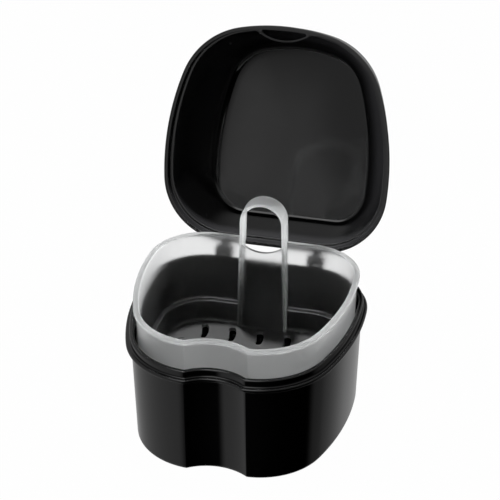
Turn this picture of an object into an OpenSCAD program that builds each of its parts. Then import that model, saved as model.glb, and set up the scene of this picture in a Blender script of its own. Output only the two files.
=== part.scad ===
// Denture case: a black cup with a shallow notch in its front wall, a deep domed lid on two
// rear hinge lugs, and a frosted strainer basket that lifts out by a loop handle.
// Frame: +Z up, front of the case towards -Y, origin at the centre of the base's rest face.
// The lid is drawn open, as it stands on its stop. Lengths are in millimetres, angles in degrees.

/* [Plan of the case] */
// Width across the cup's flange
case_w = 91; // [84:0.5:96]
// Depth of the flange, from the front cusps to the rear edge
case_d = 87.8; // [82:0.2:92]
// Distance between the two front cusps, as a share of the width
cusp_ratio = 0.2308; // [0.2:0.005:0.26]
// Depth of the notch between the two cusps
notch_depth = 3.65; // [2.5:0.05:4.5]
// Radius that rounds each cusp at the flange
cusp_r = 4; // [3:0.25:5]
// Radius of the front lobes, as a share of the width
lobe_ratio = 0.3363; // [0.32:0.002:0.35]
// Radius of the long side curves
side_r = 107; // [100:1:120]
// Radius of the rear corners, as a share of the width
corner_ratio = 0.2813; // [0.26:0.002:0.3]

/* [Cup] */
// Height of the lip's top above the rest face
cup_h = 46.1; // [44:0.1:48]
// Height of the flange's top face
flange_z = 43; // [42:0.1:44]
// Thickness of the flange
flange_t = 1.6; // [1.2:0.1:2]
// Wall thickness of the cup
cup_wall = 1.6; // [1.4:0.1:2]
// Inset of the lip's outer face from the flange's edge
lip_inset = 1.6; // [1.5:0.1:1.8]
// Thickness of the lip
lip_t = 1.8; // [1.6:0.1:2]
// Inset of the wall's outer face just under the flange
wall_inset_top = 2.1; // [1.9:0.1:2.3]
// Inset of the wall's outer face at the base
wall_inset_base = 3.4; // [3.2:0.1:3.6]
// Radius of the edge round the base
base_r = 1.6; // [1:0.1:2]
// Thickness of the cup's floor
floor_t = 1.9; // [1.6:0.1:2.2]
// Bevel on the edges of the flange, the lip and the rims
edge = 0.5; // [0.3:0.05:0.6]
// How far a web or an arm is rooted in the wall that carries it
root = 0.4; // [0.3:0.05:0.5]

/* [Seat ribs in the cup] */
// Thickness of each seat rib
rib_t = 1.4; // [1.2:0.1:1.8]
// Inset of the ribs' inner edges from the flange's edge
rib_inset = 6.5; // [6.3:0.1:6.6]
// Headings of the ribs on the lobe, the side and the rear corner, as angles from the front
rib_headings = [40, 88, 140];
// Gap between a rib's top and the basket's step
seat_gap = 0.1; // [0.05:0.05:0.2]

/* [Strainer basket] */
// Height of the basket's rim in its seat
basket_top = 57.4; // [56:0.1:57.8]
// Height of the basket's floor, its upper face
basket_floor = 18.6; // [17:0.1:20]
// Height of the ledge where the basket's wall steps in
ledge_z = 28; // [27:0.1:29]
// Width of the ledge
ledge_w = 1.8; // [1.6:0.1:2]
// Wall thickness of the basket
basket_wall = 1.2; // [1:0.1:1.3]
// Thickness of the rim flange
rim_t = 1.4; // [1.2:0.1:1.6]
// Inset of the rim flange's outer edge from the cup flange's edge
rim_inset = 3.3; // [3.2:0.05:3.4]
// Thickness of the basket's floor
basket_floor_t = 1.5; // [1.2:0.1:1.8]
// Bevel round the basket's base
basket_base_r = 1.2; // [1:0.1:1.4]
// Inset of the basket wall's outer face just under the rim
basket_inset = 4.3; // [4.2:0.1:4.5]
// How much further in the wall stands for each millimetre down
basket_draft = 0.025; // [0.02:0.005:0.03]

/* [Drain slots] */
// Width of a drain slot
slot_w = 2.8; // [2.4:0.1:3]
// Length of a drain slot, front to back
slot_l = 10; // [8:0.5:10.5]
// Radius of the arc that a slot bends along
slot_bend = 14; // [12:1:20]
// How far a slot's front end stands to the right of its rear end
slot_slant = 1; // [0:0.5:1.5]
// Distance from one slot to the next in the rear row, as a share of the width
slot_ratio_rear = 0.1253; // [0.12:0.0005:0.13]
// Distance from one slot to the next in the other rows, as a share of the width
slot_ratio_x = 0.1621; // [0.15:0.0005:0.17]
// Distance from one row of slots to the next, as a share of the depth
slot_ratio_y = 0.131; // [0.12:0.0005:0.132]
// Distance of the rearmost row's ends from the plan's rear edge
slot_back = 12; // [11.9:0.1:13]
// Number of rows
slot_rows = 5; // [3:1:5]
// Least land between a slot and the bevel round the basket's base
slot_land = 0.3; // [0.2:0.1:1]

/* [Handle] */
// Distance of the handle plate's front face from the plan's rear edge
handle_back = 10.5; // [10:0.1:11]
// Depth of the loop's band, front to back
handle_d = 7.2; // [6.5:0.1:7.2]
// Half width of the plate at the basket's floor
handle_half_low = 10.1; // [9.8:0.1:10.4]
// Outer radius of the loop
handle_r = 9; // [8.5:0.1:9.2]
// Thickness of the plate and of the loop's band
handle_t = 1.2; // [1:0.1:1.3]
// Height of the loop's top
handle_top = 76.5; // [74:0.5:76.5]
// How far the finger hole's lower edge dips below the rim
hole_dip = 3; // [2:0.5:4]
// Radius of that dipping edge
dip_r = 12.6; // [12:0.2:13]

/* [Lid] */
// Angle that the lid has opened by when it reaches its stop
lid_open = 104.5; // [95:0.5:108]
// Height of the lid's rim face when it is shut
lid_rim_z = 43.3; // [43.3:0.1:43.5]
// Wall thickness of the lid
lid_wall = 1; // [0.9:0.05:1.1]
// Gap between the lid's wall and the basket's rim
basket_gap = 0.25; // [0.25:0.05:0.4]
// How much wider the lid's wall stands at its foot than level with the basket's rim
wall_draft = 0.45; // [0.4:0.05:0.5]
// Height of the foot of the lid's wall above its rim face
wall_foot = 3.6; // [3.5:0.1:3.8]
// How far the dome's shoulder stands in from the wall
shoulder_in = 10; // [9:0.2:11]
// Rise of the dome's crown above its shoulder
crown = 2; // [1.5:0.1:4]
// Room between the dome and the top of the handle
handle_room = 2; // [1:0.1:2.5]
// How far the rim stands out past the cup's flange
lid_over = 0.55; // [0.3:0.05:0.8]
// Height of the rim's skirt round the cup's lip
skirt_h = 4.2; // [4:0.1:4.6]
// How far the skirt's outer face leans in, from the rim face up
skirt_draft = 0.9; // [0.6:0.1:1]
// Clearance between the skirt and the cup's lip
lip_gap = 0.5; // [0.4:0.05:0.6]
// How far the thumb tab's curve stands past the cusps
tab_out = 1.2; // [1:0.1:1.4]
// Height of the web that follows the cup's notch under the thumb tab
web_h = 4; // [3.8:0.1:4.2]
// Inset of that web's outer face from the flange's edge
web_in = 0.3; // [0.2:0.1:0.5]

/* [Hinge] */
// Distance of the hinge axis behind the flange's rear edge
hinge_back = 4.5; // [4.3:0.1:4.7]
// Height of the hinge axis
hinge_z = 44.7; // [44.5:0.1:45]
// Distance of each hinge lug from the centre plane
lug_x = 19; // [18:0.5:20]
// Width of each hinge lug over both ears
lug_w = 6.8; // [6.4:0.2:7.2]
// Thickness of an ear
ear_t = 1.7; // [1.5:0.1:1.9]
// Outer radius of the ears and of the lid's knuckles
knuckle_r = 2.5; // [2.4:0.1:2.7]
// Radius of the pin moulded between the ears
pin_r = 1.2; // [1:0.1:1.3]
// Radial running clearance of the pin in the knuckle
pin_gap = 0.06; // [0.03:0.01:0.09]
// Gap between a knuckle and the ear on each side of it
side_gap = 0.25; // [0.15:0.05:0.4]
// How far the web of an ear reaches down the wall under the flange
ear_drop = 6; // [5:0.5:7]

/* [Hidden] */
$fn = 48;
// Overlap of pieces that join, and how far a cut runs past the face it opens.
eps = 0.01;
past = 1;

// Headings run from 0 at the front, through 90 at the right, to 180 at the rear.
front_y = -case_d / 2;
rear_y = case_d / 2;
hinge_y = rear_y + hinge_back;
cusp_x = case_w * cusp_ratio / 2;
lobe_r = case_w * lobe_ratio;
corner_r = case_w * corner_ratio;
lobe_end = asin((case_w / 2 - cusp_x - side_r) / (lobe_r - side_r));
side_end = acos((side_r * cos(lobe_end) + corner_r - case_d + lobe_r * (1 - cos(lobe_end)))
    / (side_r - corner_r));
lobe_c = [cusp_x, front_y + lobe_r];
side_c = lobe_c + (lobe_r - side_r) * heading(lobe_end);
corner_c = side_c + (side_r - corner_r) * heading(side_end);
notch_r = (cusp_x * cusp_x + notch_depth * notch_depth) / (2 * notch_depth);
notch_c = [0, front_y + notch_depth - notch_r];
// The tab's curve closes the notch and runs tangent into both lobes.
tab_y = front_y - tab_out;
tab_r = (cusp_x * cusp_x + pow(lobe_c.y - tab_y, 2) - lobe_r * lobe_r) / (2 * (lobe_c.y - tab_y - lobe_r));
tab_c = [0, tab_y + tab_r];
tab_end = atan(cusp_x / (tab_c.y - lobe_c.y));

// Distance from a point, right of the centre plane, to the edge of the plan.
function room(p) = min(rear_y - p.y,
    p.y < lobe_c.y && heading_of(p - lobe_c) < lobe_end ? lobe_r - norm(p - lobe_c)
    : p.y > corner_c.y && heading_of(p - corner_c) > side_end ? corner_r - norm(p - corner_c)
    : side_r - norm(p - side_c));

// Outward direction at a heading.
function heading(a) = [sin(a), -cos(a)];
// Heading of a direction.
function heading_of(v) = atan2(v.x, -v.y);
// Arc about c, from one heading to another, with its end point left to the next piece.
function arc(c, r, a0, a1, n) = [for (i = [0:n - 1]) c + r * heading(a0 + (a1 - a0) * i / n)];
// Where circles about p and q meet, on the side away from the centre plane.
function meet(p, rp, q, rq) =
    let (d = norm(q - p), u = (q - p) / d, a = (rp * rp - rq * rq + d * d) / (2 * d))
    p + a * u + sqrt(rp * rp - a * a) * [u.y, -u.x];

// Right half of the plan's front, grown outwards by g: the notch and its rounded cusp, or the tab.
function notched_front(g) =
    let (r = max(0.3, cusp_r + g), rn = notch_r - g, rl = lobe_r + g,
        c = meet(notch_c, rn + r, lobe_c, rl - r),
        to_notch = heading_of(notch_c - c), to_lobe = heading_of(c - lobe_c),
        swing = atan2(c.x, c.y - notch_c.y))
    concat([for (i = [0:4]) notch_c + rn * [sin(swing * i / 5), cos(swing * i / 5)]],
        arc(c, r, to_notch, to_lobe, 4), arc(lobe_c, rl, to_lobe, lobe_end, 9));
function tab_front(g) = concat(arc(tab_c, tab_r + g, 0, tab_end, 9),
    arc(lobe_c, lobe_r + g, tab_end, lobe_end, 9));
function rear_half(g) = concat(arc(side_c, side_r + g, lobe_end, side_end, 6),
    arc(corner_c, corner_r + g, side_end, 180, 8), [[corner_c.x, rear_y + g]]);
function both_halves(h) = concat(h, [for (i = [len(h) - 1:-1:1]) [-h[i].x, h[i].y]]);
// Whole plan, grown outwards by g.
function plan(g) = both_halves(concat(notched_front(g), rear_half(g)));
function tab_plan(g) = both_halves(concat(tab_front(g), rear_half(g)));

// One ring of a wall: the plan inset by i at height z.
function ring(i, z) = lift(plan(-i), z);
function lift(pts, z) = [for (p = pts) [p.x, p.y, z]];
// An outline whose front moves forward by f and whose rear moves back by b.
function stretch(pts, f, b) =
    let (y0 = min([for (p = pts) p.y]), y1 = max([for (p = pts) p.y]))
    [for (p = pts) [p.x, p.y - f + (f + b) * (p.y - y0) / (y1 - y0)]];
// Closed solid through a list of rings, all with the same number of points.
module loft(rings) {
    n = len(rings[0]);
    m = len(rings);
    sides = [for (i = [0:m - 2], j = [0:n - 1])
        let (a = i * n + j, b = i * n + (j + 1) % n) each [[a, a + n, b + n], [a, b + n, b]]];
    bottom = [[for (j = [0:n - 1]) j]];
    top = [[for (j = [n - 1:-1:0]) (m - 1) * n + j]];
    polyhedron(points = [for (r = rings) each r], faces = concat(sides, bottom, top), convexity = 8);
}

/* Cup */
wall_top_z = flange_z - flange_t;
lip_in = lip_inset + lip_t;
inner_top = wall_inset_top + cup_wall;
inner_base = wall_inset_base + cup_wall;
rib_top = ledge_z - basket_wall - seat_gap;

module cup_shell() {
    loft([
        ring(wall_inset_base + base_r, 0),
        for (a = [30, 60]) ring(wall_inset_base + base_r * (1 - sin(a)), base_r * (1 - cos(a))),
        ring(wall_inset_base, base_r),
        ring(wall_inset_top, wall_top_z - edge),
        ring(wall_inset_top - edge, wall_top_z),
        ring(edge, wall_top_z),
        ring(0, wall_top_z + edge),
        ring(0, flange_z - edge),
        ring(edge, flange_z),
        ring(lip_inset, flange_z),
        ring(lip_inset, cup_h - edge),
        ring(lip_inset + edge, cup_h),
        ring(lip_in - edge, cup_h),
        ring(lip_in, cup_h - edge),
        ring(inner_top, wall_top_z),
        ring(inner_base, floor_t + base_r),
        ring(inner_base + base_r * (1 - cos(45)), floor_t + base_r * (1 - sin(45))),
        ring(inner_base + base_r, floor_t),
    ]);
}

// A rib stands on the floor, square to the wall at its heading. It runs out from the rib inset
// to a root in the wall, which leans out by the wall's draft.
module seat_rib(c, r, a) {
    inner = r - rib_inset;
    outer = r - wall_inset_top - cup_wall / 2;
    intersection() {
        translate(c) rotate(a - 90) translate([inner, -rib_t / 2, floor_t - root])
            cube([outer - inner, rib_t, rib_top - floor_t + root]);
        loft([ring(wall_inset_base + root, 0), ring(wall_inset_top + root, wall_top_z)]);
    }
}

// One ear of a lug: a round eye with a web that runs forward into the wall under the flange.
module ear(x) {
    low = [rear_y - wall_inset_top - root, wall_top_z - ear_drop];
    translate([x, 0, 0]) rotate([90, 0, 90]) linear_extrude(ear_t) {
        translate([hinge_y, hinge_z]) circle(knuckle_r);
        polygon([low, [low.x, flange_z - root], [hinge_y, flange_z - root],
            [hinge_y + knuckle_r, hinge_z], [hinge_y + knuckle_r - root, hinge_z - knuckle_r / 2]]);
    }
}

module cup() color([0.05, 0.05, 0.055]) {
    cup_shell();
    for (m = [0, 1]) mirror([m, 0, 0]) {
        seat_rib(lobe_c, lobe_r, rib_headings[0]);
        seat_rib(side_c, side_r, rib_headings[1]);
        seat_rib(corner_c, corner_r, rib_headings[2]);
        ear(lug_x - lug_w / 2);
        ear(lug_x + lug_w / 2 - ear_t);
        translate([lug_x - lug_w / 2 + eps, hinge_y, hinge_z])
            rotate([0, 90, 0]) cylinder(r = pin_r, h = lug_w - 2 * eps);
    }
}

/* Lid, in its shut position */
lip_out = lip_inset - lip_gap;
skirt_top = lid_rim_z + skirt_h;
// Rings of the crown: scale of the shoulder's ring, and share of the crown's rise.
CROWN = [[0.9, 0.22], [0.7, 0.57], [0.45, 0.85], [0.2, 0.98]];
wall_in = rim_inset - basket_gap;
// The wall is upright up to the basket's rim. When the lid swings up, the front of that rim
// comes this much nearer to the wall's foot than it stands at rest.
wall_z = basket_top + basket_gap;
rim_reach = hinge_y - front_y - rim_inset;
swing_in = norm([rim_reach, basket_top - hinge_z]) - rim_reach;
foot = [wall_in - wall_draft, lid_rim_z + wall_foot, swing_in - wall_draft + eps, 0, 0];
shoulder_z = handle_top + handle_room;

// Rings of the lid's inner face. Each has its inset, its height, how far its front and its rear
// stand out from that inset, and the wall's lean from upright. Above the basket's rim the wall
// curves in towards the shoulder, but its rear stays upright, so that the dome clears the handle.
function wall_ring(h) =
    let (rise = shoulder_z - wall_z, in = shoulder_in * (h + pow(h, 3)) / 2)
    [wall_in + in, wall_z + h * rise, 0, in + basket_gap, atan(shoulder_in * (1 + 3 * h * h) / 2 / rise)];
WALL = concat([foot], [for (h = [0:0.2:1]) wall_ring(h)]);

// Ring w of the wall at a distance t out from its inner face. The lid has no notch but in its rim.
function lid_ring(w, t) =
    lift(stretch(tab_plan(t * cos(w[4]) - w[0]), w[2], w[3]), w[1] + t * sin(w[4]));
// The crown's rings over a shoulder that lies t out from the inner face.
function lid_crown(shoulder, t) =
    let (ys = [for (p = shoulder) p.y], y = (min(ys) + max(ys)) / 2, z1 = shoulder[0].z,
        rise = crown + t * (1 - sin(WALL[len(WALL) - 1][4])))
    [for (c = CROWN) [for (p = shoulder) [p.x * c[0], y + (p.y - y) * c[0], z1 + rise * c[1]]]];
function reversed(a) = [for (i = [len(a) - 1:-1:0]) a[i]];

module lid_shell() {
    inner = [for (w = WALL) lid_ring(w, 0)];
    outer = [for (w = WALL) lid_ring(w, lid_wall)];
    shoulder = len(WALL) - 1;
    loft(concat(
        reversed(concat(inner, lid_crown(inner[shoulder], 0))),
        [
            lift(tab_plan(-lip_out), foot[1]),
            lift(tab_plan(-lip_out), lid_rim_z),
            lift(tab_plan(lid_over), lid_rim_z),
            lift(tab_plan(lid_over - skirt_draft), skirt_top - edge),
            lift(tab_plan(lid_over - skirt_draft - edge), skirt_top),
            lift(stretch(tab_plan(lid_wall - foot[0]), foot[2], 0), skirt_top),
        ],
        [for (i = [1:shoulder]) outer[i]],
        lid_crown(outer[shoulder], lid_wall)
    ));
}

// Part of a ring between two outlines, at the front of the rim.
module crescent(outer, inner, half, h) linear_extrude(h) difference() {
    intersection() {
        polygon(outer);
        translate([-half, tab_y]) square([2 * half, lobe_r]);
    }
    polygon(inner);
}

// Web that follows the cup's notch inside the tab's curve. It joins the rim at both cusps.
module tab_web() translate([0, 0, lid_rim_z]) difference() {
    crescent(tab_plan(root - lip_out), plan(-lip_out), cusp_x + cusp_r, web_h);
    translate([0, 0, -past])
        crescent(tab_plan(-lip_out), plan(-web_in), cusp_x, web_h + 2 * past);
}

// Knuckle that turns on the pin between the ears, with its arm from the lid's rear wall.
module knuckle() {
    w = lug_w - 2 * (ear_t + side_gap);
    arm_y = rear_y + (lid_over - lip_out) / 2;
    translate([lug_x - w / 2, 0, 0]) rotate([90, 0, 90]) linear_extrude(w) difference() {
        union() {
            translate([hinge_y, hinge_z]) circle(knuckle_r);
            polygon([[arm_y, hinge_z + root], [arm_y, skirt_top], [hinge_y, hinge_z + knuckle_r],
                [hinge_y, hinge_z]]);
        }
        translate([hinge_y, hinge_z]) circle(pin_r + pin_gap);
    }
}

module lid_shut() {
    lid_shell();
    tab_web();
    for (m = [0, 1]) mirror([m, 0, 0]) knuckle();
}

module lid() color([0.07, 0.07, 0.075])
    translate([0, hinge_y, hinge_z]) rotate([-lid_open, 0, 0]) translate([0, -hinge_y, -hinge_z])
        lid_shut();

/* Strainer basket */
function basket_out(z) = basket_inset + (basket_top - rim_t - z) * basket_draft;
basket_under = basket_floor - basket_floor_t;
step_under = ledge_z - basket_wall;
low_out = basket_out(basket_under) + ledge_w;
floor_edge = low_out + basket_wall + basket_base_r;
handle_y = rear_y - handle_back;

module basket_shell() {
    loft([
        ring(low_out + basket_base_r, basket_under),
        ring(low_out, basket_under + basket_base_r),
        ring(basket_out(step_under) + ledge_w, step_under),
        ring(basket_out(step_under), step_under),
        ring(basket_inset, basket_top - rim_t),
        ring(rim_inset, basket_top - rim_t),
        ring(rim_inset, basket_top - edge),
        ring(rim_inset + edge, basket_top),
        ring(basket_inset + basket_wall - edge, basket_top),
        ring(basket_inset + basket_wall, basket_top - edge),
        ring(basket_out(ledge_z) + basket_wall, ledge_z),
        ring(basket_out(ledge_z) + basket_wall + ledge_w, ledge_z),
        ring(low_out + basket_wall, basket_floor + basket_base_r),
        ring(floor_edge, basket_floor),
    ]);
}

// Face of the handle seen from the front: a tapered strip that ends in a round loop, inset by i.
module handle_face(i, z0) {
    arch_z = handle_top - handle_r;
    polygon([[-handle_half_low + i, z0], [handle_half_low - i, z0],
        [handle_r - i, arch_z], [-handle_r + i, arch_z]]);
    translate([0, arch_z]) circle(handle_r - i);
}

// Stands a face in the XZ plane and gives it a depth from y0 back to y1.
module standing(y0, y1) translate([0, y1, 0]) rotate([90, 0, 0]) linear_extrude(y1 - y0) children();

module above(z) intersection() {
    children();
    translate([-case_w / 2, z]) square([case_w, handle_top]);
}

// The plate runs back to the wall, which steps back at the ledge. Above the rim it is the loop.
module handle_block() {
    rear_wall_y = rear_y - basket_out(ledge_z) - basket_wall + root;
    low_z = basket_under + root;
    standing(handle_y, rear_wall_y - ledge_w) handle_face(0, low_z);
    standing(handle_y, rear_wall_y) above(step_under + eps) handle_face(0, low_z);
    standing(handle_y, handle_y + handle_d) above(basket_top - rim_t + eps) handle_face(0, low_z);
}

// Open space behind the plate, and the finger hole through it.
module handle_hollow() {
    hole_z = basket_top - hole_dip;
    standing(handle_y + handle_t, rear_y) handle_face(handle_t, basket_under - past);
    standing(handle_y - past, handle_y + 2 * handle_t) difference() {
        above(hole_z) handle_face(handle_t, basket_under);
        difference() {
            translate([-handle_half_low, hole_z - past]) square([2 * handle_half_low, hole_dip + past]);
            translate([0, hole_z + dip_r]) circle(dip_r);
        }
    }
}

// Outline of one drain slot: a bent band with round ends, whose rear end is at the origin.
function slot_outline() =
    let (r = slot_w / 2, rear = [0, -r], front = [slot_slant, r - slot_l], chord = front - rear,
        half = asin(norm(chord) / 2 / slot_bend), base = atan2(chord.x, -chord.y),
        c = (rear + front) / 2 - slot_bend * cos(half) * [cos(base), sin(base)])
    concat([for (i = [-3:3]) c + (slot_bend + r) * aim(base - half * i / 3)],
        [for (i = [1:7]) front + r * aim(base - half - i * 180 / 8)],
        [for (i = [-3:3]) c + (slot_bend - r) * aim(base + half * i / 3)],
        [for (i = [1:7]) rear + r * aim(base + half + 180 - i * 180 / 8)]);
function aim(a) = [cos(a), sin(a)];
function slot_at(i, j) =
    let (at = [i * case_w * (j == 0 ? slot_ratio_rear : slot_ratio_x),
        rear_y - slot_back - j * case_d * slot_ratio_y])
    [for (p = slot_outline()) p + at];

// A slot is kept where it has land to the bevel round the basket's base. The floor stays whole
// at its centre, where the basket's plastic flows in.
module drain_slots() {
    for (i = [-2:2], j = [0:slot_rows - 1]) {
        slot = slot_at(i, j);
        if ((i != 0 || j == 0) && min([for (p = slot) room([abs(p.x), p.y])]) > floor_edge + slot_land)
            translate([0, 0, basket_under - past])
                linear_extrude(basket_floor_t + 2 * past) polygon(slot);
    }
}

module strainer_basket() color([0.86, 0.88, 0.88, 0.75]) difference() {
    union() {
        basket_shell();
        handle_block();
    }
    handle_hollow();
    drain_slots();
}

cup();
lid();
strainer_basket();
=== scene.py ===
from math import acos, asin, atan, atan2, cos, pi, radians, sin, sqrt

import bmesh
import bpy
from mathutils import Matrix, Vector


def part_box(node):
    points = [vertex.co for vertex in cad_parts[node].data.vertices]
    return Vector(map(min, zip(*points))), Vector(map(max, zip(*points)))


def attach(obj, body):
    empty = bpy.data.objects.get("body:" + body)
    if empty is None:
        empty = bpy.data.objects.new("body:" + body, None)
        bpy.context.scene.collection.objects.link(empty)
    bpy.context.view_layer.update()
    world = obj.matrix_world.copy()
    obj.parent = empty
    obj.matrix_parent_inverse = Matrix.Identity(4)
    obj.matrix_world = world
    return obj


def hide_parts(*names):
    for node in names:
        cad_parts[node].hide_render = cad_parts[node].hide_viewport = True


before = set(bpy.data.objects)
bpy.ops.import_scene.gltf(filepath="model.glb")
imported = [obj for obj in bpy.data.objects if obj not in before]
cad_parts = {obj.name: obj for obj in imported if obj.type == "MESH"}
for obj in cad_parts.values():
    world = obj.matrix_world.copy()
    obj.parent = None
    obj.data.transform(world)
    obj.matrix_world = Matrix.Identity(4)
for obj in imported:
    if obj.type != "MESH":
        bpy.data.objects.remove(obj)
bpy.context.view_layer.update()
bpy.ops.object.select_all(action="DESELECT")

mm = 0.001

# ---------------------------------------------------------------------------------------------
# Camera, floor and light
# The camera stands to the right of the front, looks down at the open case and sees a white
# studio. The black plastic mirrors grey walls with a dark and a dim side and two softboxes.
camera_place = Vector((142.9, -575.7, 424.3)) * mm
camera_aim = Vector((2.6, 3.0, 73.7)) * mm
camera_turn = (camera_aim - camera_place).to_track_quat("-Z", "Y").to_euler()
bpy.ops.object.camera_add(location=camera_place, rotation=camera_turn)
camera = bpy.context.object
camera.data.sensor_width = 36
camera.data.lens = 132.07
camera.data.clip_start = 0.01
bpy.context.scene.camera = camera
bpy.context.scene.view_settings.view_transform = "Standard"


def node_tree(owner):
    owner.use_nodes = True
    owner.node_tree.nodes.clear()
    return owner.node_tree


def add_node(tree, kind, inputs=(), **settings):
    """A node of one kind. inputs maps a socket to its value, or to the socket that feeds it."""
    node = tree.nodes.new(kind)
    for name, value in settings.items():
        setattr(node, name, value)
    for name, value in dict(inputs).items():
        if isinstance(value, bpy.types.NodeSocket):
            tree.links.new(value, node.inputs[name])
        else:
            node.inputs[name].default_value = value
    return node


def calc(tree, operation, *values, **settings):
    """The result of one sum on values and sockets."""
    return add_node(tree, "ShaderNodeMath", dict(enumerate(values)), operation=operation,
                    **settings).outputs[0]


def dot(tree, a, b):
    return add_node(tree, "ShaderNodeVectorMath", {0: a, 1: b},
                    operation="DOT_PRODUCT").outputs["Value"]


def fade(tree, value, start, end, first, last, **settings):
    """Goes from first to last while value goes from start to end."""
    return add_node(tree, "ShaderNodeMapRange",
                    {"Value": value, "From Min": start, "From Max": end,
                     "To Min": first, "To Max": last}, **settings).outputs[0]


def mix(tree, share, first, second):
    """Two shaders, with the given share of the second one."""
    return add_node(tree, "ShaderNodeMixShader",
                    {0: share, 1: first.outputs[0], 2: second.outputs[0]})


def grey(value):
    return (value, value, value, 1)


# The floor is white to the camera, also through the frosted plastic, but for a trace of the
# case's shadow. It doesn't show in what the plastic mirrors.
floor_size = 8
floor_white = 0.08
floor_bright = 0.99

bpy.ops.mesh.primitive_plane_add(size=floor_size)
floor = bpy.context.object
floor.name = "studio_floor"
floor_paint = bpy.data.materials.new("floor_paint")
tree = node_tree(floor_paint)
path = add_node(tree, "ShaderNodeLightPath")
lit = add_node(tree, "ShaderNodeBsdfDiffuse", {"Color": grey(floor_white)})
white = add_node(tree, "ShaderNodeEmission", {"Color": grey(1), "Strength": 1.0})
unseen = add_node(tree, "ShaderNodeBsdfTransparent")
seen = calc(tree, "MAXIMUM", path.outputs["Is Camera Ray"], path.outputs["Is Transmission Ray"])
glint = calc(tree, "SUBTRACT", path.outputs["Is Glossy Ray"], path.outputs["Is Transmission Ray"],
             use_clamp=True)
shown = mix(tree, calc(tree, "MULTIPLY", seen, floor_bright), lit, white)
surface = mix(tree, glint, shown, unseen)
add_node(tree, "ShaderNodeOutputMaterial", {"Surface": surface.outputs[0]})
floor.data.materials.append(floor_paint)

wall_glow = 0.42
box_glow = 0.45
top_glow = 2.2
dim_share = 0.3
fill_glow = 0.07
through_low, through_high = 0.2, 0.5

world = bpy.data.worlds.new("studio")
bpy.context.scene.world = world
tree = node_tree(world)
path = add_node(tree, "ShaderNodeLightPath")
aim = add_node(tree, "ShaderNodeTexCoord").outputs["Generated"]


def patch(heading, elevation, inner, outer, inside, outside):
    """A round patch of the studio: one value up to the inner angle from its middle, and another
    from the outer angle on. Headings turn to the right from the front, and all are in degrees."""
    turn, lift = radians(heading), radians(elevation)
    middle = (sin(turn) * cos(lift), -cos(turn) * cos(lift), sin(lift))
    return fade(tree, dot(tree, aim, middle), cos(radians(inner)), cos(radians(outer)),
                inside, outside, interpolation_type="SMOOTHSTEP")


def sky(strength):
    return add_node(tree, "ShaderNodeBackground", {"Color": grey(1), "Strength": strength})


dark_side = patch(heading=40, elevation=-38, inner=42, outer=56, inside=0.0, outside=1.0)
dim_side = patch(heading=100, elevation=-30, inner=25, outer=50, inside=dim_share, outside=1.0)
low_box = patch(heading=2, elevation=9, inner=8, outer=22,
                inside=wall_glow + box_glow, outside=wall_glow)
high_box = patch(heading=-18, elevation=54, inner=14, outer=28, inside=top_glow, outside=0.0)
mirrored = calc(tree, "MULTIPLY", calc(tree, "MULTIPLY", dark_side, dim_side),
                calc(tree, "ADD", low_box, high_box))
aim_up = add_node(tree, "ShaderNodeSeparateXYZ", {0: aim}).outputs[2]
through = fade(tree, aim_up, through_low, through_high, 1.0, fill_glow)
mixed = sky(fill_glow)
for kind, strength in (("Camera", 1.0), ("Glossy", mirrored), ("Transmission", through)):
    mixed = mix(tree, path.outputs[f"Is {kind} Ray"], mixed, sky(strength))
add_node(tree, "ShaderNodeOutputWorld", {"Surface": mixed.outputs[0]})

# The key lamp hangs overhead and a little behind, so that the basket's rear wall shades the back
# of its floor. Each lamp has its place, size and power.
lamps = {"key": ((-0.12, 0.17, 0.95), 0.07, 20.0), "left": ((-0.9, -0.55, 0.2), 0.5, 18.0)}
for name, (place, size, power) in lamps.items():
    turn = (camera_aim - Vector(place)).to_track_quat("-Z", "Y").to_euler()
    bpy.ops.object.light_add(type="AREA", location=place, rotation=turn)
    lamp = bpy.context.object
    lamp.name = name + "_lamp"
    lamp.data.size = size
    lamp.data.energy = power
    lamp.visible_glossy = lamp.visible_transmission = False

# ---------------------------------------------------------------------------------------------
# Cup
# The base of the case: one moulding in polished black plastic, with a flange, a lip that the lid
# drops over, six ribs inside that the basket's step sits on, and two hinge lugs with their pins.
case_w = 2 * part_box("cup")[1].x / mm
case_d = 87.8
cusp_x = case_w * 0.2308 / 2
notch_depth = 3.65
cusp_r = 4
cusp_least_r = 0.3
lobe_r = case_w * 0.3363
side_r = 107
corner_r = case_w * 0.2813
notch_steps, cusp_steps, lobe_steps, side_steps, corner_steps, rear_steps = 14, 8, 26, 30, 24, 6
front_steps = notch_steps + cusp_steps + lobe_steps


def heading(a):
    """Direction at an angle from the front, seen from above."""
    return Vector((sin(a), -cos(a)))


def heading_of(v):
    return atan2(v.x, -v.y)


front_y = -case_d / 2
rear_y = case_d / 2
lobe_end = asin((case_w / 2 - cusp_x - side_r) / (lobe_r - side_r))
side_end = acos((side_r * cos(lobe_end) + corner_r - case_d + lobe_r * (1 - cos(lobe_end)))
                / (side_r - corner_r))
lobe_c = Vector((cusp_x, front_y + lobe_r))
side_c = lobe_c + (lobe_r - side_r) * heading(lobe_end)
corner_c = side_c + (side_r - corner_r) * heading(side_end)
notch_r = (cusp_x ** 2 + notch_depth ** 2) / (2 * notch_depth)
notch_c = Vector((0, front_y + notch_depth - notch_r))


def arc(c, r, a0, a1, count):
    """Points on an arc, with its end left to the next stretch of the outline."""
    return [c + r * heading(a0 + (a1 - a0) * i / count) for i in range(count)]


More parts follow.
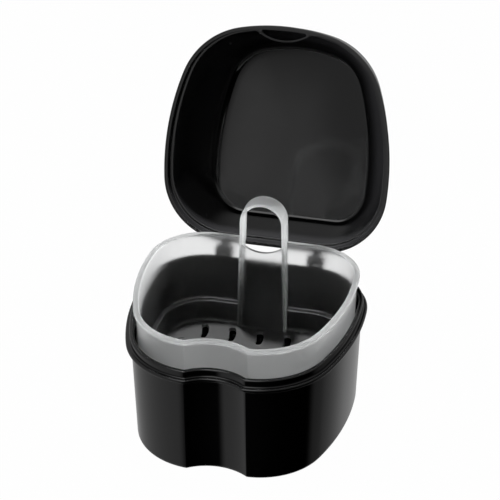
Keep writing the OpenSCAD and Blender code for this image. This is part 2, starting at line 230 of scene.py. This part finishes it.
def notched_front(g):
    """Right half of the front, grown outwards by g: the notch, its rounded cusp and the lobe."""
    r, rn, rl = max(cusp_least_r, cusp_r + g), notch_r - g, lobe_r + g
    across = lobe_c - notch_c
    d, u = across.length, across.normalized()
    a = ((rn + r) ** 2 - (rl - r) ** 2 + d * d) / (2 * d)
    c = notch_c + a * u + sqrt((rn + r) ** 2 - a * a) * Vector((u.y, -u.x))
    swing = atan2(c.x, c.y - notch_c.y)
    notch = [notch_c + rn * Vector((sin(swing * i / notch_steps), cos(swing * i / notch_steps)))
             for i in range(notch_steps)]
    return (notch + arc(c, r, heading_of(notch_c - c), heading_of(c - lobe_c), cusp_steps)
            + arc(lobe_c, rl, heading_of(c - lobe_c), lobe_end, lobe_steps))


def whole(front, g):
    """Closed outline from the right half of a front, with the sides and rear grown by g."""
    half = (front + arc(side_c, side_r + g, lobe_end, side_end, side_steps)
            + arc(corner_c, corner_r + g, side_end, pi, corner_steps)
            + [Vector((corner_c.x * (1 - i / rear_steps), rear_y + g))
               for i in range(rear_steps + 1)])
    return half + [Vector((-p.x, p.y)) for p in half[-2:0:-1]]


def plan(inset):
    return whole(notched_front(-inset), -inset)


def rounded(corners, steps=6, most=0.48):
    """Profile through corners of (values..., radius), each corner turned into a short curve that
    takes up at most a given share of a side."""
    points = []
    for i, (*corner, radius) in enumerate(corners):
        here = Vector(corner)
        if radius == 0 or i in (0, len(corners) - 1):
            points.append(here)
            continue
        legs = [Vector(corners[i + k][:-1]) - here for k in (-1, 1)]
        ends = [here + leg * min(radius / leg.length, most) for leg in legs]
        points += [(1 - t) ** 2 * ends[0] + 2 * t * (1 - t) * here + t * t * ends[1]
                   for t in (k / steps for k in range(steps + 1))]
    return points


def set_ring(piece, points):
    """Moves the selected ring onto points. Each corner of the ring remembers its spot on it."""
    shape = bmesh.from_edit_mesh(piece.data)
    spot = shape.verts.layers.int["spot"]
    for corner in shape.verts:
        if corner.select:
            corner.co = points[corner[spot]]
    bmesh.update_edit_mesh(piece.data)


def loft(name, rings, pole=False):
    """A closed shell, modelled from a disc by extruding its rim and moving it to each ring. The
    last ring is filled, and a pole fans that face out from its middle."""
    bpy.ops.mesh.primitive_circle_add(vertices=len(rings[0]), radius=mm, fill_type="NGON")
    piece = bpy.context.object
    piece.name = piece.data.name = name
    bpy.ops.object.mode_set(mode="EDIT")
    bpy.ops.mesh.select_mode(type="VERT")
    bpy.ops.mesh.select_all(action="SELECT")
    shape = bmesh.from_edit_mesh(piece.data)
    spot = shape.verts.layers.int.new("spot")
    for i, corner in enumerate(shape.verts):
        corner[spot] = i
    bmesh.update_edit_mesh(piece.data)
    set_ring(piece, rings[0])
    for ring in rings[1:]:
        bpy.ops.mesh.extrude_edges_move()
        set_ring(piece, ring)
    bpy.ops.mesh.edge_face_add()
    if pole:
        bpy.ops.mesh.poke()
    bpy.ops.mesh.select_all(action="SELECT")
    bpy.ops.mesh.normals_make_consistent(inside=False)
    bpy.ops.object.mode_set(mode="OBJECT")
    return piece


def ring_at(inset, z):
    return [Vector((p.x, p.y, z)) * mm for p in plan(inset)]


def bevel_rims(piece, width, angle=50, segments=3):
    bevel = piece.modifiers.new("rims", "BEVEL")
    bevel.width = width * mm
    bevel.segments = segments
    bevel.angle_limit = radians(angle)
    bpy.context.view_layer.objects.active = piece
    bpy.ops.object.modifier_apply(modifier=bevel.name)


def prism(name, outline, depth, axis, start, edge=0.0):
    """A solid that runs along an axis from start, with an outline across it and bevelled rims."""
    lift = {"x": lambda p, d: Vector((d, p[0], p[1])), "y": lambda p, d: Vector((p[0], d, p[1])),
            "z": lambda p, d: Vector((p[0], p[1], d))}[axis]
    piece = loft(name, [[lift(p, start + d) * mm for p in outline] for d in (0, depth)])
    if edge:
        bevel_rims(piece, edge)
    return piece


def cut_or_join(piece, others, how):
    """Cuts the others from the piece, or joins them to it as one solid."""
    for other in others:
        step = piece.modifiers.new("step", "BOOLEAN")
        step.operation = how
        step.solver = "MANIFOLD"
        step.object = other
        bpy.context.view_layer.objects.active = piece
        bpy.ops.object.modifier_apply(modifier=step.name)
        bpy.data.objects.remove(other)


def pick(piece):
    """Selects the piece alone and makes it the active one."""
    bpy.ops.object.select_all(action="DESELECT")
    piece.select_set(True)
    bpy.context.view_layer.objects.active = piece


def finish_piece(piece, body, node, material, angle=32):
    pick(piece)
    bpy.ops.object.shade_smooth_by_angle(angle=radians(angle))
    bpy.ops.object.select_all(action="DESELECT")
    piece.data.materials.clear()
    piece.data.materials.append(material)
    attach(piece, body)
    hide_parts(node)


cup_h = 46.1
flange_z = 43
flange_t = 1.6
under_z = flange_z - flange_t
lip_inset = 1.6
lip_t = 1.8
wall_top = 2.1
wall_base = 3.4
cup_wall = 1.6
floor_t = 1.9
root = 0.4

# A profile lists (inset from the plan, height, radius of the corner), from the middle of the
# underside, up the outside and down the inside, to the middle of the floor.
cup_profile = rounded([
    (8, 0, 0), (wall_base, 0, 1.9), (wall_top, under_z, 0.8), (0, under_z, 0.7),
    (0, flange_z, 0.7), (lip_inset, flange_z, 0.5), (lip_inset, cup_h, 0.8),
    (lip_inset + lip_t, cup_h, 0.8), (wall_top + cup_wall, under_z, 1),
    (wall_base + cup_wall, floor_t, 2.2), (9, floor_t, 0),
])
cup = loft("cup_body", [ring_at(inset, z) for inset, z in cup_profile])

rib_t = 1.4
rib_top = 26.7
rib_inset = 6.5
rib_edge = 0.25
rib_start = wall_base + root
rib_low = floor_t - root
rib_spots = ((lobe_c, lobe_r, 40), (side_c, side_r, 88), (corner_c, corner_r, 140))
ribs = []
for side in (1, -1):
    for c, r, a in rib_spots:
        out = heading(radians(a))
        middle = c + out * (r - (rib_inset + rib_start) / 2)
        bpy.ops.mesh.primitive_cube_add(size=1)
        rib = bpy.context.object
        rib.scale = Vector((rib_inset - rib_start, rib_t, rib_top - rib_low)) * mm
        rib.rotation_euler = (0, 0, atan2(out.y, side * out.x))
        rib.location = Vector((side * middle.x, middle.y, (rib_top + rib_low) / 2)) * mm
        bpy.ops.object.transform_apply()
        bevel_rims(rib, rib_edge)
        ribs.append(rib)

hinge_back = 4.5
hinge_y = rear_y + hinge_back
hinge_z = 44.7
lug_x = 19
lug_w = 6.8
ear_t = 1.7
ear_drop = 6
ear_edge = 0.25
knuckle_r = 2.5
pin_r = 1.2
pin_w = lug_w - 1


def eye(start, end, steps=24):
    """Part of a round end about the hinge axis, from one angle to another."""
    turns = [radians(start + (end - start) * i / steps) for i in range(steps + 1)]
    return [(hinge_y + knuckle_r * cos(a), hinge_z + knuckle_r * sin(a)) for a in turns]


def hinge_bar(x, radius, length, sides=48):
    """A round bar on the hinge axis."""
    bpy.ops.mesh.primitive_cylinder_add(vertices=sides, radius=radius * mm, depth=length * mm,
                                        location=Vector((x, hinge_y, hinge_z)) * mm,
                                        rotation=(0, pi / 2, 0))
    bpy.ops.object.transform_apply()
    return bpy.context.object


ear_y = rear_y - wall_top - root
ear_outline = eye(-35, 205) + [(ear_y, flange_z - root), (ear_y, under_z - ear_drop)]
lugs = []
for side in (1, -1):
    for x in (lug_x - lug_w / 2, lug_x + lug_w / 2 - ear_t):
        start = x if side > 0 else -x - ear_t
        lugs.append(prism("ear", ear_outline, ear_t, "x", start, ear_edge))
    lugs.append(hinge_bar(side * lug_x, pin_r, pin_w))
cut_or_join(cup, ribs + lugs, "UNION")


def moulded_plastic(name, colour, roughness, spread, ripple_size, cloud_scale=60):
    """Moulded plastic: its gloss varies a little over the surface, and it has a faint ripple."""
    material = bpy.data.materials.new(name)
    tree = node_tree(material)
    spot = add_node(tree, "ShaderNodeTexCoord").outputs["Object"]
    cloud = add_node(tree, "ShaderNodeTexNoise",
                     {"Vector": spot, "Scale": cloud_scale, "Detail": 4})
    gloss = fade(tree, cloud.outputs[0], 0.3, 0.7, roughness - spread, roughness + spread)
    wave = add_node(tree, "ShaderNodeTexNoise",
                    {"Vector": spot, "Scale": 1 / (ripple_size * mm), "Detail": 2})
    bump = add_node(tree, "ShaderNodeBump",
                    {"Height": wave.outputs[0], "Strength": 0.3, "Distance": 0.02 * mm})
    plastic = add_node(tree, "ShaderNodeBsdfPrincipled",
                       {"Base Color": colour, "Roughness": gloss, "Normal": bump.outputs[0],
                        "IOR": 1.5})
    add_node(tree, "ShaderNodeOutputMaterial", {"Surface": plastic.outputs[0]})
    return material


black = (0.0015, 0.0015, 0.0016, 1)
cup_black = moulded_plastic("cup_black", black, roughness=0.07, spread=0.02, ripple_size=6)
finish_piece(cup, "cup", "cup", cup_black)

# ---------------------------------------------------------------------------------------------
# Lid
# A deep domed moulding in black plastic. Its skirt drops over the cup's lip, a web under the
# thumb tab follows the cup's notch, and two knuckles turn on the pins between the lugs' ears.
lid_open = radians(104.5)
rim_z = 43.3
lid_wall = 1
basket_top = 57.4
rim_inset = 3.3
basket_gap = 0.25
wall_draft = 0.45
wall_foot = 3.6
shoulder_in = 10
shoulder_start, shoulder_end = 0.9, 0.95
crown = 2
crown_share = 0.98
crown_power = 2.4
crown_scales = (0.88, 0.8, 0.7, 0.6, 0.5, 0.4, 0.3, 0.2, 0.1, 0.04)
wall_steps, bend_steps = 20, 8
handle_top = 76.5
handle_room = 2
lid_over = 0.55
skirt_h = 4.2
skirt_draft = 0.9
lip_out = 1.1
tab_out = 1.2

tab_y = front_y - tab_out
tab_r = (cusp_x ** 2 + (lobe_c.y - tab_y) ** 2 - lobe_r ** 2) / (2 * (lobe_c.y - tab_y - lobe_r))
tab_c = Vector((0, tab_y + tab_r))
tab_end = atan(cusp_x / (tab_c.y - lobe_c.y))


def tab_plan(inset):
    """Outline of the rim, where the tab's curve closes the notch."""
    front = (arc(tab_c, tab_r - inset, 0, tab_end, notch_steps + cusp_steps)
             + arc(lobe_c, lobe_r - inset, tab_end, lobe_end, lobe_steps))
    return whole(front, -inset)


def lid_ring(inset, z, front, rear):
    """The rim's outline at an inset, with its front moved forward and its rear moved back."""
    points = tab_plan(inset)
    low, high = min(p.y for p in points), max(p.y for p in points)
    return [Vector((p.x, p.y - front + (front + rear) * (p.y - low) / (high - low), z)) * mm
            for p in points]


wall_in = rim_inset - basket_gap
wall_z = basket_top + basket_gap
rim_reach = hinge_y - front_y - rim_inset
swing_in = sqrt(rim_reach ** 2 + (basket_top - hinge_z) ** 2) - rim_reach
foot = (wall_in - wall_draft, rim_z + wall_foot, swing_in - wall_draft)
shoulder_z = handle_top + handle_room
rise = shoulder_z - wall_z


def wall_value(h, out):
    """Wall from the basket's rim, h = 0, up to the shoulder, h = 1, moved out by a thickness."""
    stand_in = shoulder_in * (h + h ** 3) / 2
    lean = atan(shoulder_in * (1 + 3 * h * h) / 2 / rise)
    return (wall_in + stand_in - out * cos(lean), wall_z + h * rise + out * sin(lean),
            0, stand_in + basket_gap)


def dome_rings(out):
    """Rings from level with the basket's rim, over the rounded shoulder, to the dome's top."""
    walls = [lid_ring(*wall_value(h / wall_steps, out)) for h in range(wall_steps + 1)]
    shoulder = walls[-1]
    middle = (min(p.y for p in shoulder) + max(p.y for p in shoulder)) / 2
    top = crown_share * (crown + out * (1 - sin(atan(shoulder_in * 2 / rise)))) * mm

    def crown_ring(s):
        return [Vector((p.x * s, middle + (p.y - middle) * s, p.z + top * (1 - s ** crown_power)))
                for p in shoulder]
    ends = (lid_ring(*wall_value(shoulder_start, out)), shoulder, crown_ring(shoulder_end))
    bend = [[(1 - t) ** 2 * a + 2 * t * (1 - t) * b + t * t * c for a, b, c in zip(*ends)]
            for t in (i / bend_steps for i in range(bend_steps + 1))]
    return (walls[:int(shoulder_start * wall_steps)] + bend
            + [crown_ring(s) for s in crown_scales])


# This profile lists (inset, height, move of the front, move of the rear, radius of the corner).
rim = rounded([
    (*wall_value(0, 0), 0), (*foot, 0, 0.5), (lip_out, foot[1], 0, 0, 0.5),
    (lip_out, rim_z, 0, 0, 0.3), (-lid_over, rim_z, 0, 0, 0.5),
    (-lid_over + skirt_draft, rim_z + skirt_h, 0, 0, 0.9),
    (foot[0] - lid_wall, rim_z + skirt_h, foot[2], 0, 0.6), (*wall_value(0, lid_wall), 0),
])
inner, outer = dome_rings(0), dome_rings(lid_wall)
lid = loft("lid_shell", inner[::-1] + [lid_ring(*p) for p in rim[1:-1]] + outer, pole=True)


def crescent(outer, inner, half):
    """The part of a ring between two outlines that lies at the front, within a half width."""
    def front(points):
        right = [p for p in points[:front_steps] if p.x < half]
        return [Vector((-p.x, p.y)) for p in right[:0:-1]] + right
    return front(outer) + front(inner)[::-1]


web_h = 4
web_in = 0.3
web_edge = 0.2
gap_half = cusp_x - 1.2
past = 1
web = prism("web", crescent(tab_plan(lip_out - root), plan(lip_out), cusp_x + cusp_r),
            web_h, "z", rim_z, web_edge)
gap = prism("gap", crescent(tab_plan(lip_out), plan(web_in), gap_half),
            web_h + 2 * past, "z", rim_z - past)
cut_or_join(web, [gap], "DIFFERENCE")
cut_or_join(lid, [web], "UNION")

side_gap = 0.25
pin_gap = 0.06
knuckle_edge = 0.2
knuckle_w = lug_w - 2 * (ear_t + side_gap)
arm_y = rear_y + (lid_over - lip_out) / 2
arm_low = hinge_z + root
arm_outline = [(arm_y, arm_low)] + eye(-110, 90) + [(arm_y, rim_z + skirt_h)]
knuckles = []
for side in (1, -1):
    start = side * lug_x - knuckle_w / 2
    knuckle = prism("knuckle", arm_outline, knuckle_w, "x", start, knuckle_edge)
    cut_or_join(knuckle, [hinge_bar(side * lug_x, pin_r + pin_gap, lug_w)], "DIFFERENCE")
    knuckles.append(knuckle)
cut_or_join(lid, knuckles, "UNION")

hinge = Vector((0, hinge_y, hinge_z)) * mm
pick(lid)
bpy.ops.object.mode_set(mode="EDIT")
bpy.ops.mesh.select_all(action="SELECT")
bpy.ops.transform.rotate(value=lid_open, orient_axis="X", center_override=hinge)
bpy.ops.object.mode_set(mode="OBJECT")

# Inside, the wall is satin where the dome is glossy, and its colour there is painted lighter than
# the black: a painted sheen in place of the grey light that the wall reflects. Faces inside look
# towards the middle of the lid, and inward points from the lid's mouth to its dome.
# Painted sheen: the satin wall's colour is lighter than the black plastic.
painted_sheen_colour = (0.014, 0.014, 0.015, 1)
satin_roughness = 0.22
wall_band_below = 6
wall_band_fade = 5

lid_black = moulded_plastic("lid_black", black, roughness=0.13, spread=0.03, ripple_size=8)
tree = lid_black.node_tree
plastic = tree.nodes["Principled BSDF"]
inward = Vector((0, sin(lid_open), cos(lid_open)))
forward = Vector((0, cos(lid_open), -sin(lid_open)))
lid_middle = hinge + (forward * -hinge_y + inward * (wall_z - hinge_z)) * mm
where = add_node(tree, "ShaderNodeTexCoord")
wall_band_edge = hinge.dot(inward) + (shoulder_z - wall_band_below - hinge_z) * mm
upright = fade(tree, dot(tree, where.outputs["Object"], inward),
               wall_band_edge, wall_band_edge + wall_band_fade * mm, 1.0, 0.0)
outward = add_node(tree, "ShaderNodeVectorMath", {0: where.outputs["Object"], 1: lid_middle},
                   operation="SUBTRACT").outputs[0]
inside = calc(tree, "LESS_THAN", dot(tree, where.outputs["Normal"], outward), 0.0)
satin_and_painted_sheen = calc(tree, "MULTIPLY", upright, inside)
gloss = plastic.inputs["Roughness"].links[0].from_socket
rough = add_node(tree, "ShaderNodeMix", {0: satin_and_painted_sheen, 2: gloss, 3: satin_roughness})
# Painted sheen: the satin wall takes the lighter colour, the rest stays black.
painted_sheen_tint = add_node(tree, "ShaderNodeMix", {0: satin_and_painted_sheen, 6: black, 7: painted_sheen_colour}, data_type="RGBA")
tree.links.new(rough.outputs[0], plastic.inputs["Roughness"])
tree.links.new(painted_sheen_tint.outputs[2], plastic.inputs["Base Color"])
finish_piece(lid, "lid", "lid", lid_black)

# ---------------------------------------------------------------------------------------------
# Strainer basket
# One moulding in frosted, translucent plastic. It has a rim, a ledge where the wall steps in,
# drain slots, and a hollow strip up its rear wall that ends in the loop it is lifted by.
rim_t = 1.4
basket_inset = 4.3
basket_wall = 1.2
basket_draft = 0.025
basket_floor = 18.6
basket_floor_t = 1.5
basket_base_r = 1.2
ledge_z = 28
ledge_w = 1.8


def basket_out(z):
    return basket_inset + (basket_top - rim_t - z) * basket_draft


basket_under = basket_floor - basket_floor_t
rim_low = basket_top - rim_t
low_out = basket_out(basket_under) + ledge_w
ledge_out = basket_out(ledge_z)
basket_profile = rounded([
    (10, basket_under, 0), (low_out, basket_under, 1.8), (low_out, ledge_z - basket_wall, 0.4),
    (ledge_out, ledge_z - basket_wall, 0.5), (basket_inset, rim_low, 0.4),
    (rim_inset, rim_low, 0.3), (rim_inset, basket_top, 0.6),
    (basket_inset + basket_wall, basket_top, 0.5), (ledge_out + basket_wall, ledge_z, 0.5),
    (low_out + basket_wall, ledge_z, 0.5), (low_out + basket_wall, basket_floor, 1.8),
    (12, basket_floor, 0),
])
basket = loft("basket_shell", [ring_at(inset, z) for inset, z in basket_profile])

handle_back = 10.5
handle_y = rear_y - handle_back
handle_d = 7.2
handle_half_low = 10.1
handle_r = 9
handle_t = 1.2
handle_edge = 0.35
hole_dip = 3
dip_r = 12.6
arch_z = handle_top - handle_r
low_z = basket_under + root
rear_wall_y = rear_y - ledge_out - basket_wall + root
hole_z = basket_top - hole_dip


def strip_outline(inset, z0, z1=None, steps=30):
    """The strip seen from the front: its sides from z0, and the round top, or a cut at z1."""
    def half_at(z):
        return (handle_half_low + (handle_r - handle_half_low) * (z - low_z) / (arch_z - low_z)
                - inset)
    low = [(-half_at(z0), z0), (half_at(z0), z0)]
    if z1 is not None:
        return low + [(half_at(z1), z1), (-half_at(z1), z1)]
    turns = [pi * i / steps for i in range(steps + 1)]
    return low + [((handle_r - inset) * cos(a), arch_z + (handle_r - inset) * sin(a))
                  for a in turns]


strip = [
    prism("strip", strip_outline(0, low_z, ledge_z), rear_wall_y - ledge_w - handle_y,
          "y", handle_y),
    prism("strip", strip_outline(0, ledge_z - past, basket_top - past), rear_wall_y - handle_y,
          "y", handle_y),
    prism("loop", strip_outline(0, rim_low), handle_d, "y", handle_y, handle_edge),
]
cut_or_join(basket, strip, "UNION")

# The strip is hollowed from behind and from below. The finger hole's lower edge dips.
hollow_d, hole_d, keep_d = 15, 4, 6
dip_half = dip_r - 0.001
dip_turns = [pi * k / 60 for k in range(-22, 23)]
dip = ([(-dip_half, hole_z - past)]
       + [(dip_r * sin(a), hole_z + dip_r - dip_r * cos(a)) for a in dip_turns]
       + [(dip_half, hole_z - past)])
hollow = prism("hollow", strip_outline(handle_t, basket_under - past), hollow_d,
               "y", handle_y + handle_t)
hole = prism("hole", strip_outline(handle_t, hole_z - 0.5), hole_d, "y", handle_y - past)
keep = prism("keep", dip, keep_d, "y", handle_y - 2 * past)
cut_or_join(hole, [keep], "DIFFERENCE")
cut_or_join(basket, [hollow, hole], "DIFFERENCE")

slot_w = 2.8
slot_l = 10
slot_bend = 14
slot_slant = 1
slot_step_rear = case_w * 0.1253
slot_step_x = case_w * 0.1621
slot_step_y = case_d * 0.131
slot_back = 12
slot_rear_y = rear_y - slot_back
slot_rows = 5
slot_land = 0.3
floor_edge = low_out + basket_wall + basket_base_r


def room(x, y):
    """Distance from a point on the right to the edge of the plan."""
    p = Vector((x, y))
    if y < lobe_c.y and heading_of(p - lobe_c) < lobe_end:
        return lobe_r - (p - lobe_c).length
    if y > corner_c.y and heading_of(p - corner_c) > side_end:
        return min(rear_y - y, corner_r - (p - corner_c).length)
    return min(rear_y - y, side_r - (p - side_c).length)


def slot_outline(x, y, steps=12):
    """A bent band with round ends, whose rear end is at x, y."""
    r = slot_w / 2
    rear, front = Vector((x, y - r)), Vector((x + slot_slant, y + r - slot_l))
    chord = front - rear
    half = asin(chord.length / 2 / slot_bend)
    base = atan2(chord.x, -chord.y)

    def toward(a):
        return Vector((cos(a), sin(a)))
    middle = (rear + front) / 2 - slot_bend * cos(half) * toward(base)
    sweep = [2 * i / steps - 1 for i in range(steps + 1)]
    turn = [pi * i / steps for i in range(1, steps)]
    return ([middle + (slot_bend + r) * toward(base - half * k) for k in sweep]
            + [front + r * toward(base - half - k) for k in turn]
            + [middle + (slot_bend - r) * toward(base + half * k) for k in sweep]
            + [rear + r * toward(base + half + pi - k) for k in turn])


# The rear row has a slot in the middle, and the other rows leave it out.
slots = []
for row in range(slot_rows):
    for i in range(-2, 3):
        slot = slot_outline(i * (slot_step_x if row else slot_step_rear),
                            slot_rear_y - row * slot_step_y)
        fits = min(room(abs(p.x), p.y) for p in slot) > floor_edge + slot_land
        if fits and (row == 0 or i):
            slots.append(prism("slot", slot, basket_floor_t + 2 * past,
                               "z", basket_under - past))
cut_or_join(basket, slots, "DIFFERENCE")

# Frosted plastic looks milkier where it is seen edge-on: in the rim and the loop, and along the
# strip's side walls. On the ledge the extra milk is a painted highlight, and a stronger coat
# paints a highlight on the ledge and the strip's side walls. The front wall is painted milkier and
# so lighter, and the rear wall and the strip clearer and so darker: painted light at the front and
# painted shade at the rear.
rim_milk = 0.36
edge_milk = 0.5
lit_front_milk, shaded_rear_milk = 0.16, 0.02
lit_front_end, shaded_rear_start = 20, 30
floor_clear, wall_clear = 0.95, 0.995
clear_rise = 2
ledge_half = 0.35

frosted = bpy.data.materials.new("frosted_plastic")
tree = node_tree(frosted)
spot = add_node(tree, "ShaderNodeTexCoord").outputs["Object"]
x, y, z = add_node(tree, "ShaderNodeSeparateXYZ", {0: spot}).outputs
grain = add_node(tree, "ShaderNodeTexNoise", {"Vector": spot, "Scale": 400, "Detail": 2})
cloud = add_node(tree, "ShaderNodeTexNoise", {"Vector": spot, "Scale": 90, "Detail": 3})
bump = add_node(tree, "ShaderNodeBump",
                {"Height": grain.outputs[0], "Strength": 0.2, "Distance": 0.01 * mm})

side_lean = (handle_r - handle_half_low) / (arch_z - low_z)
side_at_0 = handle_half_low - side_lean * low_z - handle_t / 2
side_x = calc(tree, "MULTIPLY_ADD", z, side_lean, side_at_0 * mm)
beside = calc(tree, "SUBTRACT", calc(tree, "ABSOLUTE", x), side_x)
at_rear = calc(tree, "GREATER_THAN", y, (handle_y - 0.5) * mm)
strip_wall = calc(tree, "MULTIPLY", calc(tree, "COMPARE", beside, 0.0, handle_t / 2 * mm), at_rear)
on_strip = calc(tree, "MULTIPLY", calc(tree, "LESS_THAN", beside, 0.0), at_rear)
# The ledge line gets a painted highlight: extra milk and a stronger coat with a higher IOR.
ledge_highlight = calc(tree, "SUBTRACT", calc(tree, "COMPARE", z, ledge_z * mm, ledge_half * mm), on_strip)
edge_milk_and_highlight = calc(tree, "MAXIMUM", ledge_highlight, strip_wall)

skin = add_node(tree, "ShaderNodeBsdfPrincipled", {
    "Base Color": (0.86, 0.865, 0.865, 1), "Normal": bump.outputs[0], "IOR": 1.22,
    "Roughness": fade(tree, cloud.outputs[0], 0.3, 0.7, 0.4, 0.5),
    "Transmission Weight": fade(tree, z, basket_floor * mm, (basket_floor + clear_rise) * mm,
                                floor_clear, wall_clear),
    # A stronger coat on the ledge and the strip's side walls, and a higher coat IOR on the ledge,
    # paint a highlight along them.
    "Coat Weight": calc(tree, "MULTIPLY_ADD", edge_milk_and_highlight, 0.85, 0.15), "Coat Roughness": 0.1,
    "Coat IOR": calc(tree, "MULTIPLY_ADD", ledge_highlight, 1.2, 1.49)})
through = add_node(tree, "ShaderNodeBsdfTranslucent", {"Color": (0.9, 0.91, 0.91, 1)})
top = fade(tree, z, (rim_low - 0.8) * mm, basket_top * mm, 0.0, rim_milk)
# Painted light and shade: more milk towards the front makes it lighter, less towards the rear
# makes it darker.
painted_light_and_shade = fade(tree, y, lit_front_end * mm, shaded_rear_start * mm, lit_front_milk, shaded_rear_milk)
milk_and_painted_light = calc(tree, "ADD", calc(tree, "MAXIMUM", top, calc(tree, "MULTIPLY", edge_milk_and_highlight, edge_milk)),
            painted_light_and_shade)
milky = mix(tree, milk_and_painted_light, skin, through)
add_node(tree, "ShaderNodeOutputMaterial", {"Surface": milky.outputs[0]})
finish_piece(basket, "strainer_basket", "strainer_basket", frosted)
